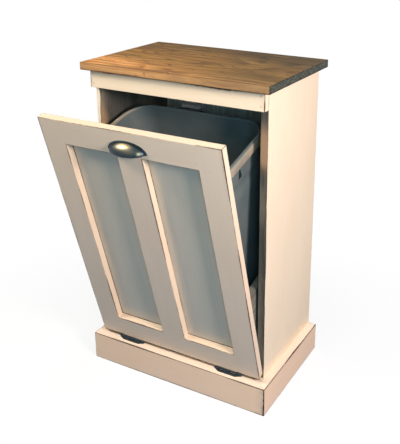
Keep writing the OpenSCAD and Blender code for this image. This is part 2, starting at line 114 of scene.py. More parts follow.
def stretch(tree, vector, scale, shift=(0, 0, 0)):
    return add(tree, "ShaderNodeMapping", {"Vector": vector, "Scale": scale, "Location": shift}).outputs[0]


def speckle(tree, vector, scale=1.0, detail=2.0, rough=0.5, warp=0.0):
    return add(tree, "ShaderNodeTexNoise",
               {"Vector": vector, "Scale": scale, "Detail": detail, "Roughness": rough, "Distortion": warp}
               ).outputs["Fac"]


def grained(tree, grain, along, across, shift=(0, 0, 0), **look):
    """Speckle drawn out along the grain, by its count per metre along and across the board."""
    return speckle(tree, stretch(tree, grain, (along, across, across), shift), **look)


def attribute(tree, name, output="Fac"):
    return add(tree, "ShaderNodeAttribute", attribute_name=name).outputs[output]


def object_place(tree):
    return add(tree, "ShaderNodeTexCoord").outputs["Object"]


def srgb(r, g, b):
    """A colour as read off a picture, 0 to 255, as the linear colour that a shader takes."""
    def linear(c):
        c /= 255
        return c / 12.92 if c <= 0.04045 else ((c + 0.055) / 1.055) ** 2.4
    return (linear(r), linear(g), linear(b), 1.0)


def shade(colour, r, g, b):
    """A linear colour with its red, green and blue each taken down or up by a share."""
    return (colour[0] * r, colour[1] * g, colour[2] * b, 1)


def group(name, inputs, outputs):
    """An empty node group with its sockets, and its input and output nodes."""
    tree = bpy.data.node_groups.new(name, "ShaderNodeTree")
    for label, kind in inputs.items():
        tree.interface.new_socket(name=label, in_out="INPUT", socket_type="NodeSocket" + kind)
    for label, kind in outputs.items():
        tree.interface.new_socket(name=label, in_out="OUTPUT", socket_type="NodeSocket" + kind)
    return tree, tree.nodes.new("NodeGroupInput").outputs, tree.nodes.new("NodeGroupOutput").inputs


def shared(tree, effect, inputs):
    """The outputs of a shared effect, placed in a material."""
    return add(tree, "ShaderNodeGroup", inputs, node_tree=effect).outputs


def material(name):
    """A new material, its tree and its Principled shader."""
    made = bpy.data.materials.new(name)
    made.use_nodes = True
    return made, made.node_tree, made.node_tree.nodes["Principled BSDF"]


def wire(tree, shader, bump_depth=None, height=None, **sockets):
    """Links or sets the shader's sockets, with underscores for spaces, and a bump of that depth."""
    if height is not None:
        bump = add(tree, "ShaderNodeBump", {"Height": height, "Distance": bump_depth, "Strength": 1.0})
        sockets["Normal"] = bump.outputs[0]
    for key, value in sockets.items():
        key = key.replace("_", " ")
        if isinstance(value, bpy.types.NodeSocket):
            tree.links.new(value, shader.inputs[key])
        else:
            shader.inputs[key].default_value = value


# Shared effects

# Knots lie in cells of this many per metre along, across and through the board
KNOT_CELLS = (3.4, 11, 11)
# How far a knot pushes the rings aside, and how far a ring wobbles, as a share of its width
KNOT_PUSH, RING_WOBBLE = 11 * MM, 0.9
# How deep the pith lies under the middle of a board, and how fast the board leans away from it
PITH_DEPTH, PITH_LEAN = 55 * MM, 0.016


def late_wood(tree, rings, start, full):
    """The dark part of each ring: it grows from start to full, and ends sharply where the next one begins."""
    phase = maths(tree, "FRACT", rings)
    return times(tree, between(tree, phase, start, full), between(tree, phase, full + 0.02, 1.0, 1.0, 0.0))


def wood_figure():
    """Solid wood from coordinates along, across and through a board: late wood, fibre, knots and blotches."""
    tree, given, out = group("wood_figure", {"Grain": "Vector", "Ring Spacing": "Float", "Wander": "Float"},
                             {"Late": "Float", "Fibre": "Float", "Knot": "Float", "Blotch": "Float"})
    grain = given["Grain"]
    cells = add(tree, "ShaderNodeTexVoronoi",
                {"Vector": stretch(tree, grain, KNOT_CELLS), "Randomness": 1.0}).outputs
    chance = add(tree, "ShaderNodeSeparateColor", {0: cells["Color"]}).outputs[0]
    present = between(tree, chance, 0.62, 0.66)
    ragged = maths(tree, "MULTIPLY_ADD", grained(tree, grain, 60, 120), 0.05, cells["Distance"])
    knot = times(tree, between(tree, ragged, 0.075, 0.125, 1.0, 0.0), present)
    swirl = times(tree, between(tree, ragged, 0.05, 0.42, 1.0, 0.0), present)
    # The rings lie about the pith, wander across the board and bend round the knots
    wander = maths(tree, "SUBTRACT", grained(tree, grain, 2.1, 7, detail=3.0), 0.5)
    parts = add(tree, "ShaderNodeSeparateXYZ", {0: grain}).outputs
    across = maths(tree, "MULTIPLY_ADD", wander, given["Wander"], parts[1])
    through = maths(tree, "ADD", parts[2], PITH_DEPTH)
    radius = maths(tree, "SQRT", maths(tree, "ADD", maths(tree, "POWER", across, 2.0),
                                       maths(tree, "POWER", through, 2.0)))
    radius = maths(tree, "MULTIPLY_ADD", parts[0], PITH_LEAN, radius)
    radius = maths(tree, "MULTIPLY_ADD", swirl, KNOT_PUSH, radius)
    rings = maths(tree, "DIVIDE", radius, given["Ring Spacing"])
    rings = maths(tree, "MULTIPLY_ADD", grained(tree, grain, 6, 30), RING_WOBBLE, rings)
    tree.links.new(late_wood(tree, rings, 0.35, 0.88), out["Late"])
    tree.links.new(grained(tree, grain, 14, 620, detail=3.0, rough=0.6), out["Fibre"])
    tree.links.new(knot, out["Knot"])
    tree.links.new(grained(tree, grain, 3, 12, detail=4.0), out["Blotch"])
    return tree


def edge_rub():
    """Finish rubbed off along the arrises: a sharp worn line, and a soft glaze left beside it. Break is how
    ragged the line is."""
    tree, given, out = group("edge_rub", {"Grain": "Vector", "Width": "Float", "Break": "Float"},
                             {"Worn": "Float", "Glaze": "Float"})
    grain = given["Grain"]
    edge = attribute(tree, "arris")
    fine = grained(tree, grain, 110, 260, detail=4.0, rough=0.65)
    more = between(tree, grained(tree, grain, 7, 21), 0.35, 0.75, 0.6, 1.7)
    width = times(tree, times(tree, given["Width"], more),
                  maths(tree, "MULTIPLY_ADD", fine, given["Break"], 0.35))
    near = maths(tree, "DIVIDE", edge, width)
    tree.links.new(between(tree, near, 0.75, 1.25, 1.0, 0.0), out["Worn"])
    tree.links.new(between(tree, near, 0.6, 4.5, 1.0, 0.0), out["Glaze"])
    return tree


def brush_strokes():
    """Paint laid on with a brush along the board: strokes, and a slow mottle."""
    tree, given, out = group("brush_strokes", {"Grain": "Vector"}, {"Stroke": "Float", "Mottle": "Float"})
    grain = given["Grain"]
    tree.links.new(grained(tree, grain, 5, 420, detail=3.0, rough=0.55), out["Stroke"])
    tree.links.new(grained(tree, grain, 3, 8, detail=4.0, rough=0.6), out["Mottle"])
    return tree


def scuffs():
    """Handling marks: fine specks, soft smudges and thin scratches, from any coordinates in metres."""
    tree, given, out = group("scuffs", {"Place": "Vector"},
                             {"Speck": "Float", "Smudge": "Float", "Scratch": "Float"})
    place = given["Place"]
    tree.links.new(speckle(tree, place, scale=900.0), out["Speck"])
    tree.links.new(speckle(tree, place, scale=14.0, detail=4.0, rough=0.6), out["Smudge"])
    lines = speckle(tree, stretch(tree, place, (90, 700, 60)), warp=0.6)
    tree.links.new(between(tree, lines, 0.66, 0.72), out["Scratch"])
    return tree


WOOD, RUB, BRUSH, SCUFFS = wood_figure(), edge_rub(), brush_strokes(), scuffs()

# Materials

CREAM = srgb(245, 224, 192)
# The first of these is the bare wood at rubbed arrises, and also painted shadow where a rub is made very wide
RUBBED_WOOD_AND_SHADOW, GLAZE, GRIME = srgb(58, 46, 39), srgb(150, 112, 78), srgb(176, 160, 140)
# Bare wood on a painted board: its rings, its pale blotches, and the patches where a pool of light is painted on
# it
# This bare wood is darker than fresh pine, so that it also paints the shade it lies in inside the cabinet
EDGE_EARLY, EDGE_LATE = srgb(82, 78, 68), srgb(60, 57, 50)
EDGE_BLOTCH, EDGE_LIT_PATCH = srgb(142, 130, 108), srgb(156, 124, 92)
PINE_EARLY, PINE_LATE, PINE_KNOT = srgb(136, 132, 118), srgb(102, 94, 80), srgb(62, 54, 45)
# How far apart the rings lie and how far they wander, in the narrow boards and in the broad ones
NARROW_RINGS, NARROW_WANDER = 5.5 * MM, 0.05
BROAD_RINGS, BROAD_WANDER = 9 * MM, 0.16


def pine_colour(tree, grain, early, late, knot=PINE_KNOT, spacing=NARROW_RINGS, wander=NARROW_WANDER):
    """Colour and height of bare wood, and the wood figure's outputs."""
    wood = shared(tree, WOOD, {"Grain": grain, "Ring Spacing": spacing, "Wander": wander})
    colour = blend(tree, times(tree, wood["Late"], 0.8), early, late)
    fibre = between(tree, wood["Fibre"], 0.35, 0.65, 0.82, 1.08, smooth=False)
    grey = add(tree, "ShaderNodeCombineColor", {0: fibre, 1: fibre, 2: fibre}).outputs[0]
    colour = blend(tree, 1.0, colour, grey, "MULTIPLY")
    colour = blend(tree, times(tree, wood["Knot"], 0.9), colour, knot)
    height = maths(tree, "MULTIPLY_ADD", wood["Late"], 0.5, wood["Fibre"])
    return colour, height, wood


def painted_wood(name, paint, rub_width, rub_break, lit_top_paint=None):
    """Brushed paint over pine, rubbed through at the arrises, and bare where the coat stops. A paler paint, if
    given, goes on the faces that look up: painted light from above."""
    made, tree, shader = material(name)
    grain = attribute(tree, "grain", "Vector")
    bare, bare_height, wood = pine_colour(tree, grain, EDGE_EARLY, EDGE_LATE)
    bare = blend(tree, between(tree, wood["Blotch"], 0.5, 0.7, 0.0, 0.6), bare, EDGE_BLOTCH)
    # A painted pool of light brightens the bare wood where a vertex carries one
    painted_light = times(tree, between(tree, attribute(tree, "lit_patch"), 0.0, 0.6), 0.85)
    bare = blend(tree, painted_light, bare, EDGE_LIT_PATCH)
    rub = shared(tree, RUB, {"Grain": grain, "Width": rub_width, "Break": rub_break})
    brush = shared(tree, BRUSH, {"Grain": grain})
    tint = between(tree, brush["Mottle"], 0.3, 0.7, 0.0, 0.55)
    colour = blend(tree, tint, paint, shade(paint, 0.93, 0.89, 0.84))
    streak = between(tree, brush["Stroke"], 0.3, 0.7, 0.0, 0.22)
    colour = blend(tree, streak, colour, shade(paint, 0.86, 0.82, 0.76))
    # Faces that look up take the paler paint: painted light falling from above
    if lit_top_paint:
        facing = add(tree, "ShaderNodeNewGeometry").outputs["Normal"]
        rise = add(tree, "ShaderNodeSeparateXYZ", {0: facing}).outputs[2]
        colour = blend(tree, between(tree, rise, 0.3, 0.9), colour, lit_top_paint)
    colour = blend(tree, times(tree, wood["Knot"], 0.16), colour, GLAZE)
    colour = blend(tree, times(tree, rub["Glaze"], 0.16), colour, GLAZE)
    specks = between(tree, speckle(tree, grain, 160.0, 4.0, 0.7), 0.38, 0.62)
    grime = maths(tree, "MULTIPLY", attribute(tree, "rub"), specks, clamp=True)
    colour = blend(tree, times(tree, grime, 0.8), colour, GRIME)
    colour = blend(tree, rub["Worn"], colour, RUBBED_WOOD_AND_SHADOW)
    edge = maths(tree, "MULTIPLY_ADD", grained(tree, grain, 40, 150, detail=4.0), 0.5,
                 attribute(tree, "coat"))
    covered = between(tree, edge, 0.68, 0.82)
    colour = blend(tree, covered, bare, colour)
    on_wood = maths(tree, "MAXIMUM", rub["Worn"], maths(tree, "SUBTRACT", 1.0, covered), clamp=True)
    rough = between(tree, on_wood, 0.0, 1.0, 0.5, 0.78)
    rough = maths(tree, "MULTIPLY_ADD", brush["Stroke"], 0.16, maths(tree, "SUBTRACT", rough, 0.06))
    painted_height = maths(tree, "MULTIPLY_ADD", brush["Stroke"], 0.5, 1.2)
    height = times(tree, maths(tree, "SUBTRACT", 1.0, on_wood), painted_height)
    height = maths(tree, "MULTIPLY_ADD", bare_height, 0.3, height)
    wire(tree, shader, 0.12 * MM, height, Base_Color=colour, Roughness=rough, Specular_IOR_Level=0.4)
    return made


def bare_wood(name, early, late, knot, spacing=NARROW_RINGS, wander=NARROW_WANDER):
    """Unfinished boards, a little dirty along the arrises."""
    made, tree, shader = material(name)
    grain = attribute(tree, "grain", "Vector")
    colour, height, wood = pine_colour(tree, grain, early, late, knot, spacing, wander)
    rub = shared(tree, RUB, {"Grain": grain, "Width": 1.0 * MM, "Break": 1.5})
    dirt = between(tree, wood["Blotch"], 0.4, 0.75, 0.0, 0.35)
    colour = blend(tree, dirt, colour, shade(knot, 1.5, 1.5, 1.5))
    colour = blend(tree, times(tree, rub["Glaze"], 0.25), colour, knot)
    rough = between(tree, wood["Fibre"], 0.3, 0.7, 0.66, 0.85)
    wire(tree, shader, 0.15 * MM, height, Base_Color=colour, Roughness=rough, Specular_IOR_Level=0.3)
    return made


# The stained top, early and late wood: it is orange at the front left and darkens to brown at the back
STAIN_WARM = (srgb(247, 178, 107), srgb(213, 143, 78))
STAIN_MIDDLE = (srgb(168, 122, 62), srgb(114, 82, 38))
STAIN_BROWN = (srgb(104, 78, 38), srgb(66, 50, 22))
# Painted shade: the top's right part, and more so its front right corner, are toned darker and cooler
RIGHT_SHADE_TONE, FRONT_RIGHT_SHADE_TONE = (0.74, 0.82, 0.97, 1), (0.7, 0.74, 0.78, 1)
STREAK_DARK, STREAK_PALE, CLOUD = srgb(92, 64, 40), srgb(206, 158, 106), srgb(92, 66, 36)
DARK_MARK, CHECK, TOP_KNOT = srgb(66, 46, 30), srgb(74, 46, 26), srgb(84, 50, 28)
TOP_GLAZE, TOP_PLANED, TOP_WORN = srgb(112, 74, 42), srgb(166, 132, 94), srgb(84, 62, 42)
END_DARK, END_PALE, END_RIM = srgb(40, 44, 38), srgb(98, 100, 86), srgb(26, 28, 25)
# How many cathedral lines the slow noise holds, and how far the short dark marks turn from the grain
CATHEDRALS, MARK_TURN = 17.0, math.radians(38)


def stained_wood(name):
    """The top: knotty pine with an uneven stain, dark marks and checks, a planed front edge and dark ends."""
    made, tree, shader = material(name)
    grain = attribute(tree, "grain", "Vector")
    wood = shared(tree, WOOD, {"Grain": grain, "Ring Spacing": BROAD_RINGS, "Wander": BROAD_WANDER})
    # Cathedral lines, where the saw ran along the rings
    arches = grained(tree, grain, 1.7, 8, (0.3, 0.2, 0), detail=1.5, warp=0.35)
    arch = late_wood(tree, times(tree, arches, CATHEDRALS), 0.3, 0.86)
    late = maths(tree, "MAXIMUM", times(tree, wood["Late"], 0.45), times(tree, arch, 0.95))
    spots = add(tree, "ShaderNodeSeparateXYZ", {0: object_place(tree)}).outputs
    lean = maths(tree, "MULTIPLY_ADD", spots[1], 1.9, times(tree, spots[0], 0.3))
    lean = maths(tree, "MULTIPLY_ADD", wood["Blotch"], 0.34, lean)
    colour = blend(tree, between(tree, lean, -0.02, 0.2), blend(tree, late, *STAIN_WARM),
                   blend(tree, late, *STAIN_MIDDLE))
    colour = blend(tree, between(tree, lean, 0.32, 0.66), colour, blend(tree, late, *STAIN_BROWN))
    # Painted shade, darker and cooler towards the right and at the front right corner
    colour = toned(tree, between(tree, spots[0], -0.06, 0.15), colour, RIGHT_SHADE_TONE)
    front_right_shade = times(tree, between(tree, spots[0], 0.05, 0.21),
                        between(tree, spots[1], -0.07, 0.09, 1.0, 0.0))
    colour = toned(tree, front_right_shade, colour, FRONT_RIGHT_SHADE_TONE)
    streaks = grained(tree, grain, 4, 95, detail=4.0, rough=0.62)
    colour = blend(tree, between(tree, streaks, 0.5, 0.7, 0.0, 0.75), colour, STREAK_DARK)
    colour = blend(tree, between(tree, streaks, 0.3, 0.44, 0.5, 0.0), colour, STREAK_PALE)
    clouds = grained(tree, grain, 5, 19, (0.7, 0.3, 0), detail=3.0, warp=0.4)
    colour = blend(tree, between(tree, clouds, 0.5, 0.68, 0.0, 0.5), colour, CLOUD)
    askew = add(tree, "ShaderNodeMapping", {"Vector": grain, "Rotation": (0, 0, MARK_TURN)}).outputs[0]
    marks = speckle(tree, stretch(tree, askew, (15, 120, 60), (0.2, 0.5, 0)), detail=1.0)
    colour = blend(tree, times(tree, between(tree, marks, 0.68, 0.74), 0.7), colour, DARK_MARK)
    wave = grained(tree, grain, 3.2, 15, (0.4, 0.1, 0), detail=2.5, warp=0.5)
    check = between(tree, maths(tree, "ABSOLUTE", maths(tree, "SUBTRACT", wave, 0.52)), 0.0, 0.007, 1.0, 0.0)
    check = times(tree, check, between(tree, grained(tree, grain, 9, 22), 0.46, 0.6))
    colour = blend(tree, times(tree, check, 0.75), colour, CHECK)
    colour = blend(tree, times(tree, wood["Knot"], 0.7), colour, TOP_KNOT)
    rub = shared(tree, RUB, {"Grain": grain, "Width": 1.2 * MM, "Break": 1.5})
    colour = blend(tree, times(tree, rub["Glaze"], 0.35), colour, TOP_GLAZE)
    # The front edge is planed smooth and has taken less stain
    planed = between(tree, attribute(tree, "rub"), 0.5, 0.8, 0.0, 0.55)
    colour = blend(tree, planed, colour, TOP_PLANED)
    colour = blend(tree, times(tree, rub["Worn"], 0.7), colour, TOP_WORN)
    pores = between(tree, speckle(tree, grain, 200.0, 5.0, 0.7), 0.4, 0.64)
    pores = times(tree, pores, between(tree, wood["Late"], 0.0, 1.0, 1.1, 0.4))
    end_grain = blend(tree, pores, END_DARK, END_PALE)
    end_grain = blend(tree, times(tree, rub["Glaze"], 0.75), end_grain, END_RIM)
    colour = blend(tree, attribute(tree, "coat"), colour, end_grain)
    rough = maths(tree, "MULTIPLY_ADD", wood["Fibre"], 0.2, 0.5)
    height = maths(tree, "SUBTRACT", maths(tree, "MULTIPLY_ADD", late, 0.4, wood["Fibre"]),
                   times(tree, check, 2.0))
    wire(tree, shader, 0.15 * MM, height, Base_Color=colour, Roughness=rough, Specular_IOR_Level=0.07)
    return made


def dark_metal(name, dark, rubbed, roughness, highlight_colour, rub_share=0.4, lacquer=0.0):
    """A dark finish on metal: even, a little cloudy, rubbed paler in patches, and with a painted highlight where a
    vertex carries one.
    """
    made, tree, shader = material(name)
    marks = shared(tree, SCUFFS, {"Place": object_place(tree)})
    handled = times(tree, between(tree, marks["Smudge"], 0.55, 0.75), rub_share)
    handled = maths(tree, "MAXIMUM", handled, times(tree, marks["Scratch"], 0.25))
    cloud = between(tree, marks["Smudge"], 0.3, 0.7)
    colour = blend(tree, cloud, dark, shade(dark, 0.7, 0.7, 0.72))
    colour = blend(tree, handled, colour, rubbed)
    # A vertex attribute marks highlights painted on the cup, in the last colour
    colour = blend(tree, attribute(tree, "painted_highlight"), colour, highlight_colour)
    rough = maths(tree, "MULTIPLY_ADD", marks["Smudge"], 0.2, roughness - 0.1)
    wire(tree, shader, 0.03 * MM, marks["Speck"], Base_Color=colour, Roughness=rough, Metallic=1.0,
         Coat_Weight=lacquer, Coat_Roughness=0.34, Coat_Tint=(1.0, 0.93, 0.8, 1))
    return made


def zinc_steel(name):
    """Plain zinc plate, dulled in patches."""
    made, tree, shader = material(name)
    marks = shared(tree, SCUFFS, {"Place": object_place(tree)})
    colour = blend(tree, between(tree, marks["Smudge"], 0.35, 0.65), srgb(190, 190, 184), srgb(150, 148, 140))
    rough = maths(tree, "MULTIPLY_ADD", marks["Smudge"], 0.25, 0.22)
    wire(tree, shader, 0.02 * MM, marks["Speck"], Base_Color=colour, Roughness=rough, Metallic=1.0)
    return made


def filled_nail(name):
    """A nail head under paint, with a little rust bleeding through."""
    made, tree, shader = material(name)
    marks = shared(tree, SCUFFS, {"Place": object_place(tree)})
    colour = blend(tree, between(tree, marks["Smudge"], 0.3, 0.7, 0.5, 1.0), CREAM, srgb(146, 108, 78))
    wire(tree, shader, 0.05 * MM, marks["Speck"], Base_Color=colour, Roughness=0.6)
    return made


def moulded_plastic(name, colour, scuffed, rim, roughness=0.5):
    """Moulded plastic with a fine spark-eroded skin, scuffs, a dusty bloom and a painted highlight along the rim.
    """
    made, tree, shader = material(name)
    marks = shared(tree, SCUFFS, {"Place": object_place(tree)})
    skin = blend(tree, between(tree, marks["Smudge"], 0.3, 0.75, 0.0, 0.6), colour, scuffed)
    skin = blend(tree, times(tree, marks["Scratch"], 0.35), skin, scuffed)
    # The rim attribute marks a painted highlight along the can's rim, in the rim colour
    worn = times(tree, attribute(tree, "rim"), between(tree, marks["Smudge"], 0.3, 0.6, 0.55, 1.0))
    skin = blend(tree, worn, skin, rim)
    rough = maths(tree, "MULTIPLY_ADD", marks["Smudge"], 0.22, roughness - 0.1)
    wire(tree, shader, 0.06 * MM, marks["Speck"], Base_Color=skin, Roughness=rough, Specular_IOR_Level=0.22)
    return made


PAINT = painted_wood("cream_paint", CREAM, 0.8 * MM, 1.0)
# The door's paint is a darker, pinker copy of the cream: painted shade on the door's down-tilted face
SHADED_DOOR_PAINT = painted_wood("shaded_door_paint", srgb(238, 212, 182), 0.8 * MM, 1.0)
# The plinth's paint has a paler copy on its upward faces: painted light from above
WORN_PAINT = painted_wood("worn_paint", srgb(249, 213, 178), 2.5 * MM, 0.5, lit_top_paint=srgb(248, 222, 195))
# The panel's paint is a greyer, darker copy of the cream: painted shade in the recess
SHADED_PANEL_PAINT = painted_wood("panel_paint", srgb(217, 204, 180), 0.8 * MM, 1.0)
STAIN = stained_wood("brown_stain")
PINE = bare_wood("bare_pine", PINE_EARLY, PINE_LATE, PINE_KNOT)
PLY = bare_wood("plywood", srgb(218, 214, 196), srgb(194, 188, 168), srgb(132, 118, 96),
                BROAD_RINGS, BROAD_WANDER)
BRONZE = dark_metal("dark_bronze", srgb(84, 94, 98), srgb(112, 112, 106), 0.6, srgb(150, 132, 104), 0.25)
PEWTER = dark_metal("aged_pewter", srgb(36, 56, 66), srgb(92, 90, 84), 0.45, srgb(196, 176, 136), 0.3, 0.3)
STEEL = zinc_steel("zinc_steel")
NAIL = filled_nail("filled_nail")
# The can's grey plastic is tinted cool, which paints the teal shade it stands in inside the cabinet
CAN_PLASTIC = moulded_plastic("grey_can_plastic", srgb(88, 99, 98), srgb(108, 112, 106), srgb(170, 154, 130))
# The catch's plastic is made dark to paint the shade under the rail where it sits
CATCH_PLASTIC = moulded_plastic("catch_plastic", srgb(70, 74, 73), srgb(90, 91, 88), srgb(110, 108, 102),
                                roughness=0.45)


# Pieces

def finish_piece(name, bm, skin, node, crease=None):
    """The mesh as an object that stands for a node, on its body and with its material. crease is the angle in
    degrees from which its smooth faces meet in a crease."""
    mesh = bpy.data.meshes.new(name)
    bm.to_mesh(mesh)
    bm.free()
    piece = bpy.data.objects.new(name, mesh)
    bpy.context.scene.collection.objects.link(piece)
    mesh.materials.append(skin)
    if crease:
        mesh.set_sharp_from_angle(angle=math.radians(crease))
    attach(piece, BODY_OF[node])
    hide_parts(node)


# Boards

# The arrises are rounded by this much, and in waves by up to this share more, where they were sanded harder
EASE, SANDED_MORE = 0.9 * MM, 0.5
SANDING_WAVES, SANDING_SPREAD = 38, 0.35
# What the rounding made lies within this distance of its arris
EASED_REACH = 1.1 * EASE
# A line of glaze counts as this many times wider than a rubbed arris
GLAZE_TIMES = 1.7
# Where a board is cut, so that its vertices can carry its finish: this deep under its faces, beside
# its lines of glaze, and in even steps
FACE_CUTS = (2 * MM, 5 * MM, 12 * MM, 26 * MM)
GLAZE_CUTS = (-2 * MM, -MM, 2 * MM, 6 * MM)
CUT_STEP, CUTS_APART = 30 * MM, 0.9 * MM
MITRE_REACH = 40 * MM
# The distance to an arris that a board without any carries
FAR = 60 * MM


def slice_across(bm, axis, at):
    """Cuts every face along the plane where that coordinate has that value."""
    where, normal = Vector((0, 0, 0)), Vector((0, 0, 0))
    where[axis], normal[axis] = at, 1
    bmesh.ops.bisect_plane(bm, geom=bm.verts[:] + bm.edges[:] + bm.faces[:], dist=1e-7,
                           plane_co=where, plane_no=normal)


def cut_places(low, high, marks):
    """Where a board is cut along one axis: at the marks, close to its faces, and at even steps."""
    size = high - low
    near = [c for c in FACE_CUTS if c < size / 2 - MM]
    steps = int(size / CUT_STEP)
    wanted = [low + c for c in near] + [high - c for c in near] + list(marks)
    wanted += [low + size * i / steps for i in range(1, steps)]
    kept = []
    for place in sorted(wanted, key=lambda p: (p not in marks, p)):
        if all(abs(place - k) > CUTS_APART for k in kept) and low + MM < place < high - MM:
            kept.append(place)
    return kept


def arrises(low, high, butted, spans):
    """The exposed edges of a board, as start and end points. A butted face has none, and a face in spans
    has them only along one axis, over the stretches given."""
    ends = (low, high)
    found = []
    for axis, side_a, side_b in product((X, Y, Z), (LOW, HIGH), (LOW, HIGH)):
        a, b = [k for k in (X, Y, Z) if k != axis]
        touching = [f for f, key in FACES.items() if key in ((a, side_a), (b, side_b))]
        if any(f in butted for f in touching):
            continue
        limits = [spans[f] for f in touching if f in spans]
        if any(along != axis for along, stretches in limits):
            continue
        stretches = limits[0][1] if limits else [(low[axis], high[axis])]
        for start, end in stretches:
            p = Vector((0, 0, 0))
            p[a], p[b], p[axis] = ends[side_a][a], ends[side_b][b], start
            q = p.copy()
            q[axis] = end
            found.append((p, q))
    return found


def on_face(point, face, low, high):
    axis, side = face
    return abs(point[axis] - (low, high)[side][axis]) < TOUCH


def times_wider(line, worn, low, high):
    """How many times wider than the rest an arris is rubbed, found by the two faces that meet in it."""
    for pair, wider in worn.items():
        if all(on_face(point, FACES[name], low, high) for point in line for name in pair):
            return wider
    return 1.0


def nearest(point, line):
    """The point of a straight stretch that is nearest to a point."""
    p, q = line
    run = q - p
    share = max(0.0, min(1.0, (point - p).dot(run) / run.length_squared))
    return p + run * share


def distance(point, line):
    return (nearest(point, line) - point).length


def closeness(point, spots):
    """1 at the centre of the closest spot, and 0 from its reach on."""
    return max([max(0.0, 1 - (point - centre).length / reach) for centre, reach in spots], default=0.0)


def block(low, high):
    """A mesh of the plain block between two corners."""
    bm = bmesh.new()
    made = bmesh.ops.create_cube(bm, size=1.0)
    place = Matrix.Translation((low + high) / 2) @ Matrix.Diagonal((*(high - low), 1))
    bmesh.ops.transform(bm, matrix=place, verts=made["verts"])
    return bm


def ease_arrises(bm, lines):
    """Rounds the exposed edges, by an amount that varies along them as hand sanding does."""
    picked = [e for e in bm.edges
              if any(all(distance(v.co, line) < TOUCH for v in e.verts) for line in lines)]
    bmesh.ops.bevel(bm, geom=picked, offset=EASE, segments=2, profile=0.5, affect="EDGES", material=-1)
    for vert in bm.verts:
        feet = [nearest(vert.co, line) for line in lines]
        foot = min(feet, key=lambda f: (f - vert.co).length, default=None)
        if foot is not None and (foot - vert.co).length < EASED_REACH:
            harder = max(0.0, noise.noise(vert.co * SANDING_WAVES) + SANDING_SPREAD)
            vert.co = foot + (vert.co - foot) * (1 + SANDED_MORE * harder)


def coat_at(point, on, coated, lap, low, high):
    """How well the paint covers a point of a board, by the faces it lies on. An eased arris is on none."""
    if lap and on == [FACES["front"]]:
        share = (point.x - low.x) / (high.x - low.x)
        return lap[0] + (lap[1] - lap[0]) * share
    if any(face in coated for face in on):
        return 1.0
    return 0.5 if coated and not on else 0.0


def board(node, skin, along, coated=(), place=UPRIGHT, butted=(), spans=None, lap=None, mitres=(),
          glazed=(), rubs=(), lit_patches=(), end_coat=False, worn=None, rounded=None):
    """A board with eased arrises, which carries its grain, its coat and the distance to its arrises.

    along is the axis of its grain, and coated names its painted faces. lap gives the coat from the left to
    the right of the front face, and end_coat coats the ends alone. glazed gives more lines that hold dark
    glaze. rubs give rubbed spots, and lit patches give spots of bare wood with a pool of light painted on
    them, as centre and reach. worn gives pairs of faces and how many times wider the arris between them is
    rubbed, where a very wide rub paints a shadow line, and rounded a pair of faces and the radius that their
    corner is worn to. mitres gives each mitred end as axis, side and the face that it slopes towards."""
    low, high = extent(node, place)
    lines = arrises(low, high, butted, spans or {})
    bm = block(low, high)
    for axis in (X, Y, Z):
        marks = [mark for span_axis, stretches in (spans or {}).values() if span_axis == axis
                 for ends in stretches for mark in ends]
        marks += [start[axis] + c for start, end in glazed if start[axis] == end[axis] for c in GLAZE_CUTS]
        for at in cut_places(low[axis], high[axis], marks):
            slice_across(bm, axis, at)
    ease_arrises(bm, lines)
    grain_key = bm.verts.layers.float_vector.new("grain")
    arris_key = bm.verts.layers.float.new("arris")
    coat_key = bm.verts.layers.float.new("coat")
    rub_key = bm.verts.layers.float.new("rub")
    lit_patch_key = bm.verts.layers.float.new("lit_patch")
    # Each board is cut from its own place in the log
    seed = sum(ord(c) * (i + 1) for i, c in enumerate(node))
    shift = Vector((seed % 17 * 0.37, seed % 13 * 0.011 - 0.07, seed % 5 * 0.006))
    order = [along] + [k for k in sorted((X, Y, Z), key=lambda k: low[k] - high[k]) if k != along]
    middle = (low + high) / 2
    rubbed = [(line, times_wider(line, worn or {}, low, high)) for line in lines]
    rubbed += [(line, GLAZE_TIMES) for line in glazed]
    sides = [FACES[name] for name in coated]
    for vert in bm.verts:
        local = vert.co - middle
        on = [face for face in FACES.values() if on_face(vert.co, face, low, high)]
        vert[grain_key] = Vector(local[k] for k in order) + shift
        vert[arris_key] = min([distance(vert.co, line) / wider for line, wider in rubbed], default=FAR)
        if end_coat:
            vert[coat_key] = 1.0 if not on or any(axis == along for axis, _ in on) else 0.0
        else:
            vert[coat_key] = coat_at(vert.co, on, sides, lap, low, high)
        vert[rub_key] = closeness(vert.co, rubs)
        vert[lit_patch_key] = closeness(vert.co, lit_patches)
    for end in mitres:
        mitre(bm, low, high, *end)
    if rounded:
        round_corner(bm, low, high, *rounded)
    bmesh.ops.transform(bm, matrix=place, verts=bm.verts)
    finish_piece(node + "_board", bm, skin, node)


def into(side):
    """The direction from one side of a board into it."""
    return 1 if side == LOW else -1


def mitre(bm, low, high, axis, side, toward):
    """Slopes one end of a board back by its own thickness, from its outer face to the face named."""
    thick_axis, far_side = FACES[toward]
    thick = high[thick_axis] - low[thick_axis]
    end = (low, high)[side][axis]
    for vert in bm.verts:
        inward = abs(vert.co[thick_axis] - (high, low)[far_side][thick_axis]) / thick
        close = max(0.0, 1 - abs(vert.co[axis] - end) / MITRE_REACH)
        vert.co[axis] += into(side) * inward * close * thick


def round_corner(bm, low, high, faces, radius):
    """Wears the corner between two faces of a board round."""
    (a, side_a), (b, side_b) = [FACES[name] for name in faces]
    middle_a = (low, high)[side_a][a] + into(side_a) * radius
    middle_b = (low, high)[side_b][b] + into(side_b) * radius
    for vert in bm.verts:
        out_a = (middle_a - vert.co[a]) * into(side_a)
        out_b = (middle_b - vert.co[b]) * into(side_b)
        away = math.hypot(out_a, out_b)
        if out_a > 0 and out_b > 0 and away > radius:
            vert.co[a] = middle_a - into(side_a) * out_a * radius / away
            vert.co[b] = middle_b - into(side_b) * out_b * radius / away


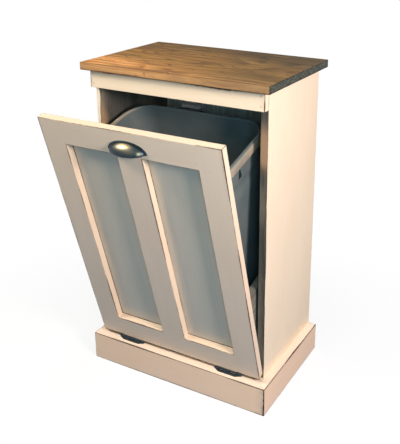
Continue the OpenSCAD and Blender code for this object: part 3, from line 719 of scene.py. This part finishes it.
# How well the paint covers the front edge of each side panel, from its left to its right
SIDE_LAPS = {"left": (1.0, 0.0), "right": (-0.3, 0.4)}
# Spots along the boards, in millimetres: painted pools of light up the front edges of the sides, the planed ones
# along the front edge of the top, and the rubbed ones up the plinth's front right corner
LIT_PATCH_AT, LIT_PATCH_REACH = range(640, 701, 15), 24 * MM
PLANED_AT, PLANED_REACH = range(-250, 260, 20), 30 * MM
RUBBED_AT, RUBBED_REACH = range(4, 76, 8), 22 * MM


def carcass():
    """The fixed box: sides, rails, cleats, shelf, back and top, with the blocks that stop the door."""
    for side, lap in SIDE_LAPS.items():
        low, high = extent(f"side_panel_{side}")
        painted_light = [(Vector(((low.x + high.x) / 2, low.y, z * MM)), LIT_PATCH_REACH) for z in LIT_PATCH_AT]
        board(f"side_panel_{side}", PAINT, Z, {side, "front", "back"}, butted={"over", "under"}, lap=lap,
              lit_patches=painted_light)
        board(f"top_cleat_{side}", PINE, Y, butted={"over", side})
        board(f"shelf_cleat_{side}", PINE, Y, butted={"over", side})
        board(f"stop_block_{side}", PINE, Y, place=OPEN, butted={side})
    board("back_panel", PLY, Z, butted={"left", "right", "over"})
    board("bottom_shelf", PINE, X, butted={"left", "right", "front", "back"})
    board("front_bottom_rail", PAINT, X, {"over", "left", "right"}, butted={"front", "back", "under"})
    # The very wide rub where the rail's front meets the top paints the shadow under the top's overhang
    board("front_top_rail", PAINT, X, {"front", "under", "left", "right"},
          worn={("front", "right"): 2.5, ("front", "left"): 3.0, ("front", "over"): 6.0,
                ("front", "under"): 0.3})
    board("back_top_rail", PINE, X, butted={"over", "back", "left", "right"})
    board("back_bottom_rail", PINE, X, butted={"back", "left", "right"})
    low, high = extent("top_board")
    planed = [(Vector((x * MM, low.y, (low.z + high.z) / 2)), PLANED_REACH) for x in PLANED_AT]
    board("top_board", STAIN, X, rubs=planed, end_coat=True,
          worn={("front", "under"): 1.8, ("front", "over"): 0.6, ("right", "over"): 0.6,
                ("left", "over"): 0.6})


def baseboards():
    """The plinth, mitred at its two front corners."""
    low, high = extent("baseboard_front")
    upright = (Z, [(low.z, high.z)])
    rubs = [(Vector((high.x, low.y, low.z + z * MM)), RUBBED_REACH) for z in RUBBED_AT]
    board("baseboard_front", WORN_PAINT, X, {"front", "over", "left", "right"}, butted={"back"},
          spans={"left": upright, "right": upright}, rubs=rubs, worn={("front", "right"): 1.5},
          mitres=[(X, LOW, "back"), (X, HIGH, "back")])
    board("baseboard_left", WORN_PAINT, Y, {"left", "over", "back", "front"}, butted={"right"},
          spans={"front": upright}, mitres=[(Y, LOW, "right")])
    board("baseboard_right", WORN_PAINT, Y, {"right", "over", "back", "front"}, butted={"left"},
          spans={"front": upright}, mitres=[(Y, LOW, "left")], worn={("right", "over"): 1.5})


def door_frame():
    """The door's five members round its panel. A wide dark line along their foot paints the shadow in the gap
    above the plinth.
    """
    field_low = extent("door_bottom_rail", OPEN)[1].z
    field_high = extent("door_top_rail", OPEN)[0].z
    field_x = extent("door_top_rail", OPEN)[1].x
    mullion_x = extent("door_mullion", OPEN)[1].x
    tall = (Z, [(field_low, field_high)])
    wide = (X, [(-field_x, -mullion_x), (mullion_x, field_x)])
    shown = set(FACES)
    # A very wide rub along the foot, and at the right stile's outer foot edge, paints the shadow in the gap under
    # the door
    foot = {("front", "under"): 6.5}
    board("door_stile_left", SHADED_DOOR_PAINT, Z, shown, OPEN, spans={"right": tall},
          rounded=(("left", "under"), 3 * MM),
          worn=foot | {("front", "left"): 2.4, ("front", "right"): 1.4})
    board("door_stile_right", SHADED_DOOR_PAINT, Z, shown, OPEN, spans={"left": tall},
          rounded=(("right", "under"), 4.5 * MM),
          worn=foot | {("front", "right"): 1.9, ("right", "under"): 6.5, ("front", "over"): 1.5})
    board("door_top_rail", SHADED_DOOR_PAINT, X, shown, OPEN, {"left", "right"}, {"under": wide},
          worn={("front", "over"): 1.2, ("front", "under"): 1.3})
    board("door_bottom_rail", SHADED_DOOR_PAINT, X, shown, OPEN, {"left", "right"}, {"over": wide},
          worn=foot | {("front", "over"): 1.6})
    board("door_mullion", SHADED_DOOR_PAINT, Z, shown, OPEN, {"over", "under"}, worn={("front", "right"): 1.4})
    # Glaze stays in the corners where the panel meets the frame
    y = extent("door_panel", OPEN)[0].y
    glazed = []
    for x0, x1 in wide[1]:
        ring = [Vector((x0, y, field_low)), Vector((x1, y, field_low)),
                Vector((x1, y, field_high)), Vector((x0, y, field_high))]
        glazed += [(ring[i], ring[(i + 1) % 4]) for i in range(4)]
    board("door_panel", SHADED_PANEL_PAINT, Z, {"front"}, OPEN, glazed=glazed)


def tray():
    """The bare tray on the door's back, which holds the can."""
    for side in ("left", "right"):
        board(f"tray_side_{side}", PINE, Y, place=OPEN, butted={"front"})
    board("tray_front", PINE, X, place=OPEN, butted={"front", "left", "right", "under"})
    board("tray_back", PINE, X, place=OPEN, butted={"left", "right", "under"})
    board("tray_bottom", PINE, X, place=OPEN, butted={"front", "left", "right"})


# The trash can

# How much further in the wall stands at the foot than at the top, across and deep
CAN_LEAN = Vector((28, 26)) * MM
CAN_RIM_OVER = 7 * MM
# What lies further than this from the can's middle belongs to its side walls
CAN_BESIDE = 150 * MM
CAN_CORNER_TOP, CAN_CORNER_LOW = 60 * MM, 44 * MM
CORNER_STEPS = 9
BAG_HOLE = {"across": 18 * MM, "low": 454 * MM, "high": 480 * MM, "y": -26.4 * MM, "tip": 3 * MM}
# The rim's skirt, from this height up in millimetres, carries a painted highlight all round. Its lip carries
# one only at the left, from one distance off the middle to another.
CAN_SKIRT_Z, CAN_LIP_Z = 489, 511
LIP_LIT_FROM, LIP_LIT_TO = 165 * MM, 192 * MM

# How far the wall stands out from the plain wall, and its height, in millimetres: up the
# outside, round the rolled rim and down the inside to the floor
CAN_PROFILE = [
    (-34, 5), (-16, 5), (-12, 0.6), (-7, 0), (-3, 1), (-0.6, 5), (0, 14), (0, 60), (0, 140), (0, 240),
    (0, 340), (0, 400), (0, 424), (-1.6, 428), (-1.6, 446), (0, 450), (0, 488), (0, 506), (1.4, 508.5),
    (3.6, 508.5), (4.4, 506), (4.4, 492), (5, 490.2), (6.3, 490.2), (7, 491.5), (7, 506), (6.4, 511),
    (4.4, 514), (1.4, 515), (-1, 514.4), (-2.4, 512), (-2.6, 508), (-2.6, 470), (-2.6, 440), (-2.6, 340),
    (-2.6, 240), (-2.6, 140), (-2.6, 60), (-2.8, 20), (-4, 9), (-8, 5), (-14, 3.8), (-30, 3.8), (-34, 6),
    (-60, 6)]


def rounded_ring(verts, w, d, r, z):
    """Sets a ring of vertices out as a rectangle with round corners, at one height."""
    per_corner = len(verts) // 4
    for i, vert in enumerate(verts):
        corner, step = divmod(i, per_corner)
        turn = math.radians(90) * (corner + step / (per_corner - 1))
        sx = 1 if corner in (0, 3) else -1
        sy = 1 if corner in (0, 1) else -1
        vert.co = (sx * (w / 2 - r) + r * math.cos(turn), sy * (d / 2 - r) + r * math.sin(turn), z)


def can_ring(verts, top, out, z, height):
    """One ring of the can's wall: where its taper puts it at height z, grown by out."""
    lean = 1 - z / height
    corner = CAN_CORNER_TOP + (CAN_CORNER_LOW - CAN_CORNER_TOP) * lean + out
    rounded_ring(verts, top.x - 2 * CAN_LEAN.x * lean + 2 * out, top.y - 2 * CAN_LEAN.y * lean + 2 * out,
                 max(corner, 2 * MM), z)


def rim_highlight(vert, out, z):
    """How strong the painted highlight on the can's rim is at a vertex of the ring with that profile point."""
    if z > CAN_LIP_Z:
        return max(0.0, min(1.0, (-vert.co.x - LIP_LIT_FROM) / (LIP_LIT_TO - LIP_LIT_FROM)))
    return 1.0 if z > CAN_SKIRT_Z and out > 1 else 0.0


def cut_bag_holes(bm):
    """A three-cornered hole through each side wall, under the rim."""
    low, high, y, half = BAG_HOLE["low"], BAG_HOLE["high"], BAG_HOLE["y"], BAG_HOLE["across"] / 2
    for axis, at in ((Y, y - half), (Y, y + half), (Z, low), (Z, high)):
        slice_across(bm, axis, at)
    for side in (-1, 1):
        found = []
        for face in bm.faces:
            c = face.calc_center_median()
            beside = c.x * side > CAN_BESIDE and abs(face.normal.x) > 0.9
            if beside and abs(c.y - y) < half and low < c.z < high:
                found.append(face)
        for vert in {v for face in found for v in face.verts}:
            if vert.co.z > high - MM:
                vert.co.y = y + math.copysign(BAG_HOLE["tip"], vert.co.y - y)
        rims = [e for e in bm.edges if sum(f in found for f in e.link_faces) == 1]
        bmesh.ops.delete(bm, geom=found, context="FACES")
        bmesh.ops.bridge_loops(bm, edges=rims)


def trash_can():
    """One closed shell, its ring pulled up the outside, round the rim and down the inside."""
    low, high = extent("trash_can", OPEN)
    top = Vector((high.x - low.x, high.y - low.y)) - Vector((2, 2)) * CAN_RIM_OVER
    height = high.z - low.z
    bm = bmesh.new()
    rim_light_key = bm.verts.layers.float.new("rim")
    ring = bmesh.ops.create_circle(bm, segments=4 * CORNER_STEPS, radius=0.1)["verts"]
    edges = bm.edges[:]
    first = ring
    can_ring(ring, top, CAN_PROFILE[0][0] * MM, CAN_PROFILE[0][1] * MM, height)
    for out, z in CAN_PROFILE[1:]:
        made = bmesh.ops.extrude_edge_only(bm, edges=edges)["geom"]
        fresh = {item for item in made if isinstance(item, bmesh.types.BMVert)}
        ring = [next(e.other_vert(v) for e in v.link_edges if e.other_vert(v) in fresh) for v in ring]
        edges = [item for item in made if isinstance(item, bmesh.types.BMEdge)
                 and all(v in fresh for v in item.verts)]
        can_ring(ring, top, out * MM, z * MM, height)
        for vert in ring:
            vert[rim_light_key] = rim_highlight(vert, out, z)
    bm.faces.new(first)
    bm.faces.new(ring)
    bmesh.ops.recalc_face_normals(bm, faces=bm.faces)
    cut_bag_holes(bm)
    bmesh.ops.recalc_face_normals(bm, faces=bm.faces)
    for face in bm.faces:
        face.smooth = True
    middle = Vector(((low.x + high.x) / 2, (low.y + high.y) / 2, low.z))
    bmesh.ops.transform(bm, matrix=OPEN @ Matrix.Translation(middle), verts=bm.verts)
    finish_piece("trash_can_shell", bm, CAN_PLASTIC, "trash_can", crease=38)


# The cup pull, modelled about the middle of its foot

CUP_WALL = 1.8 * MM
CUP_FLANGE, CUP_FLANGE_T = 5 * MM, 2 * MM
# The flange's outer edge is bevelled: it lies more than this far outside the cup
FLANGE_RIM, FLANGE_BEVEL = 3 * MM, 0.9 * MM
LIP_R = 1.3 * MM
CUP_ARC, CUP_TURNS = 40, 16
# Highlights painted on the cup: its crown, its belly and its right tip, as centre, half length,
# half width and strength
CUP_PAINTED_HIGHLIGHTS = [(Vector((-3, -9, 20.5)) * MM, 16 * MM, 8 * MM, 1.0),
                 (Vector((12, -16, 14)) * MM, 20 * MM, 7 * MM, 0.18),
                 (Vector((37, -11, 7)) * MM, 4 * MM, 3.4 * MM, 0.6)]


def half_ellipse(a, b):
    """Points from left to right over the upper half of an ellipse."""
    turns = [math.pi * i / CUP_ARC for i in range(CUP_ARC + 1)]
    return [Vector((-a * math.cos(turn), 0, b * math.sin(turn))) for turn in turns]


def highlight_at(point):
    """How strong the painted highlight on the cup is at a point."""
    spots = []
    for centre, length, width, strength in CUP_PAINTED_HIGHLIGHTS:
        away = point - centre
        spots.append(strength * math.exp(-(away.x / length) ** 2 - (away.yz.length / width) ** 2))
    return max(spots)


def cup_shell(half, reach, origin):
    """The cup: an arch turned a quarter round about the line of its foot, and given a wall."""
    bm = bmesh.new()
    verts = [bm.verts.new(p) for p in half_ellipse(half, reach)]
    edges = [bm.edges.new(pair) for pair in zip(verts, verts[1:])]
    bmesh.ops.spin(bm, geom=verts + edges, cent=(0, 0, 0), axis=(1, 0, 0), angle=math.radians(90),
                   steps=CUP_TURNS, use_merge=False)
    bmesh.ops.remove_doubles(bm, verts=bm.verts, dist=0.05 * MM)
    bmesh.ops.recalc_face_normals(bm, faces=bm.faces)
    if sum(f.normal.dot(f.calc_center_median()) for f in bm.faces) < 0:
        bmesh.ops.reverse_faces(bm, faces=bm.faces)
    bmesh.ops.solidify(bm, geom=bm.faces[:], thickness=CUP_WALL)
    highlight_key = bm.verts.layers.float.new("painted_highlight")
    for vert in bm.verts:
        vert[highlight_key] = highlight_at(vert.co)
    for face in bm.faces:
        face.smooth = True
    bmesh.ops.translate(bm, verts=bm.verts, vec=origin)
    bmesh.ops.transform(bm, matrix=OPEN, verts=bm.verts)
    finish_piece("cup_pull_shell", bm, PEWTER, "cup_pull", crease=50)


def cup_flange(half, reach, origin):
    """The flat arch that lies on the door round the cup."""
    bm = bmesh.new()
    outer = half_ellipse(half + CUP_FLANGE, reach + CUP_FLANGE)
    inner = half_ellipse(half - CUP_WALL, reach - CUP_WALL)
    face = bm.faces.new([bm.verts.new(p) for p in outer + inner[::-1]])
    if face.normal.y > 0:
        face.normal_flip()
    made = bmesh.ops.extrude_face_region(bm, geom=[face])["geom"]
    lifted = [v for v in made if isinstance(v, bmesh.types.BMVert)]
    bmesh.ops.translate(bm, verts=lifted, vec=(0, -CUP_FLANGE_T, 0))
    bmesh.ops.recalc_face_normals(bm, faces=bm.faces)
    across, up = half + FLANGE_RIM, reach + FLANGE_RIM
    outside = {v for v in lifted if v.co.x ** 2 / across ** 2 + v.co.z ** 2 / up ** 2 > 1}
    rim = [e for e in bm.edges if all(v in outside for v in e.verts)]
    bmesh.ops.bevel(bm, geom=rim, offset=FLANGE_BEVEL, segments=3, profile=0.5, affect="EDGES", material=-1)
    bmesh.ops.translate(bm, verts=bm.verts, vec=origin)
    bmesh.ops.transform(bm, matrix=OPEN, verts=bm.verts)
    finish_piece("cup_pull_flange", bm, PEWTER, "cup_pull", crease=40)


def sweep(bm, points, radius, sides=10):
    """A round rod along a line of points, with closed ends."""
    rings, loops = [], []
    for i, point in enumerate(points):
        run = points[min(i + 1, len(points) - 1)] - points[max(i - 1, 0)]
        place = Matrix.Translation(point) @ run.to_track_quat("Z", "Y").to_matrix().to_4x4()
        ring = bmesh.ops.create_circle(bm, segments=sides, radius=radius, matrix=place)["verts"]
        rings.append(ring)
        loops.append([e for e in bm.edges if e.verts[0] in ring])
    for one, other in zip(loops, loops[1:]):
        bmesh.ops.bridge_loops(bm, edges=one + other)
    for ring in (rings[0], rings[-1]):
        bm.faces.new(ring)


def cup_lip(half, reach, origin):
    """The lip rolled along the cup's lower edge."""
    bm = bmesh.new()
    curve = [Vector((p.x * (half - LIP_R) / half, -p.z * (reach - LIP_R) / reach, LIP_R)) + origin
             for p in half_ellipse(half, reach)]
    sweep(bm, curve, LIP_R)
    bmesh.ops.recalc_face_normals(bm, faces=bm.faces)
    for face in bm.faces:
        face.smooth = True
    bmesh.ops.transform(bm, matrix=OPEN, verts=bm.verts)
    finish_piece("cup_pull_lip", bm, PEWTER, "cup_pull", crease=60)


def cup_pull():
    """The pull in three pieces that stand for one node."""
    low, high = extent("cup_pull", OPEN)
    half, reach = high.x - CUP_FLANGE, high.y - low.y
    origin = Vector((0, high.y, low.z))
    cup_shell(half, reach, origin)
    cup_flange(half, reach, origin)
    cup_lip(half, reach, origin)


def dress_hardware():
    """The small metal and plastic nodes keep their shape and get their finish."""
    skins = {"dark_bronze": BRONZE, "steel": STEEL, "catch_plastic": CATCH_PLASTIC}
    for name, piece in frame["nodes"].items():
        skin = NAIL if name == "rail_nails" else skins.get(SLOT_OF[name])
        if skin:
            piece.data.materials.clear()
            piece.data.materials.append(skin)


# The stage

WHITE = (1, 1, 1, 1)
FLOOR_REACH = 16.0
# The floor as the camera sees it, and as it colours what stands on it
FLOOR_SEEN, FLOOR_BOUNCE = srgb(246, 246, 246), srgb(80, 104, 140)
# This share of the floor's shadow shows, and it fades out between these distances from the middle
SHADOW_SHARE, SHADOW_FADE = 0.22, (0.3, 1.0)
FILL_COLOUR, FILL_LEVEL = (0.66, 0.87, 1.0, 1), 0.12


def floor():
    """White away from the cabinet, with a soft shadow round its foot."""
    bm = bmesh.new()
    bmesh.ops.create_grid(bm, x_segments=2, y_segments=2, size=FLOOR_REACH)
    mesh = bpy.data.meshes.new("floor")
    bm.to_mesh(mesh)
    bm.free()
    made = bpy.data.objects.new("floor", mesh)
    bpy.context.scene.collection.objects.link(made)
    skin, tree, shader = material("pale_floor")
    path = add(tree, "ShaderNodeLightPath").outputs
    tone = blend(tree, path["Is Camera Ray"], FLOOR_BOUNCE, FLOOR_SEEN)
    wire(tree, shader, Base_Color=tone, Roughness=0.9, Specular_IOR_Level=0.0)
    away = add(tree, "ShaderNodeVectorMath", {0: object_place(tree)}, operation="LENGTH").outputs["Value"]
    plain = between(tree, away, *SHADOW_FADE, 1 - SHADOW_SHARE, 1.0)
    seen = maths(tree, "MAXIMUM", path["Is Camera Ray"], path["Is Glossy Ray"])
    white = add(tree, "ShaderNodeEmission", {"Color": WHITE, "Strength": 1.0}).outputs[0]
    mixed = add(tree, "ShaderNodeMixShader", {0: times(tree, plain, seen), 1: shader.outputs[0], 2: white})
    tree.links.new(mixed.outputs[0], tree.nodes["Material Output"].inputs["Surface"])
    mesh.materials.append(skin)


def surroundings():
    """White where it is seen or mirrored, and a cool soft light elsewhere."""
    world = bpy.data.worlds.new("studio")
    bpy.context.scene.world = world
    world.use_nodes = True
    tree = world.node_tree
    fill = tree.nodes["Background"]
    fill.inputs["Color"].default_value = FILL_COLOUR
    fill.inputs["Strength"].default_value = FILL_LEVEL
    white = add(tree, "ShaderNodeBackground", {"Color": WHITE, "Strength": 1.0})
    path = add(tree, "ShaderNodeLightPath").outputs
    mirrored = maths(tree, "MAXIMUM", path["Is Glossy Ray"], path["Is Transmission Ray"])
    seen = maths(tree, "MAXIMUM", path["Is Camera Ray"], mirrored)
    mixed = add(tree, "ShaderNodeMixShader", {0: seen, 1: fill.outputs[0], 2: white.outputs[0]})
    tree.links.new(mixed.outputs[0], tree.nodes["World Output"].inputs["Surface"])


# The point that the lamps face
LAMP_AIM = Vector((0, -0.05, 0.5))
# Round soft lamps: place, width, colour and power
LAMPS = {"window_right": ((1.45, -0.71, 1.17), 0.45, (1.0, 0.87, 0.86), 31.8),
         "lamp_left": ((-0.98, -0.85, 1.75), 0.6, (1.0, 0.93, 0.84), 23.1),
         "lamp_back": ((0.2, 2.3, 0.95), 0.9, (0.95, 0.97, 1.0), 26.0),
         "lamp_above": ((0.1, -0.4, 2.5), 0.8, (1.0, 0.94, 0.74), 5.0),
         "sky_fill": ((1.1, -1.55, 1.18), 0.7, (0.44, 0.77, 1.0), 12.6)}


def lamps():
    for name, (place, width, colour, power) in LAMPS.items():
        data = bpy.data.lights.new(name, "AREA")
        data.shape, data.size, data.color, data.energy = "DISK", width, colour, power
        made = bpy.data.objects.new(name, data)
        turn = (Vector(place) - LAMP_AIM).to_track_quat("Z", "Y").to_matrix().to_4x4()
        made.matrix_world = Matrix.Translation(place) @ turn
        bpy.context.scene.collection.objects.link(made)


# The camera, as fitted to the photograph's 400 by 444 frame
FRAME_W, FRAME_H = 400, 444
FOCAL_PX, CENTRE_PX = 695.75, (249.69, 142.68)
CAMERA_PLACE = Vector((0.8724, -1.3567, 1.1662))
CAMERA_RIGHT = Vector((0.8865, 0.4627, 0.0100))
CAMERA_UP = Vector((-0.1519, 0.2705, 0.9507))
SENSOR = 36.0


def camera():
    """A pinhole camera that sees the cabinet as the photograph does."""
    data = bpy.data.cameras.new("camera")
    data.sensor_width = SENSOR
    data.lens = FOCAL_PX * SENSOR / FRAME_H
    data.shift_x = (FRAME_W / 2 - CENTRE_PX[0]) / FRAME_H
    data.shift_y = (CENTRE_PX[1] - FRAME_H / 2) / FRAME_H
    data.clip_start, data.clip_end = 0.05, 60
    made = bpy.data.objects.new("camera", data)
    back = CAMERA_RIGHT.cross(CAMERA_UP)
    turn = Matrix((CAMERA_RIGHT, CAMERA_UP, back)).transposed().to_4x4()
    made.matrix_world = Matrix.Translation(CAMERA_PLACE) @ turn
    bpy.context.scene.collection.objects.link(made)
    bpy.context.scene.camera = made


carcass()
baseboards()
door_frame()
tray()
trash_can()
cup_pull()
dress_hardware()

floor()
surroundings()
lamps()
camera()
bpy.context.scene.view_settings.view_transform = "Standard"
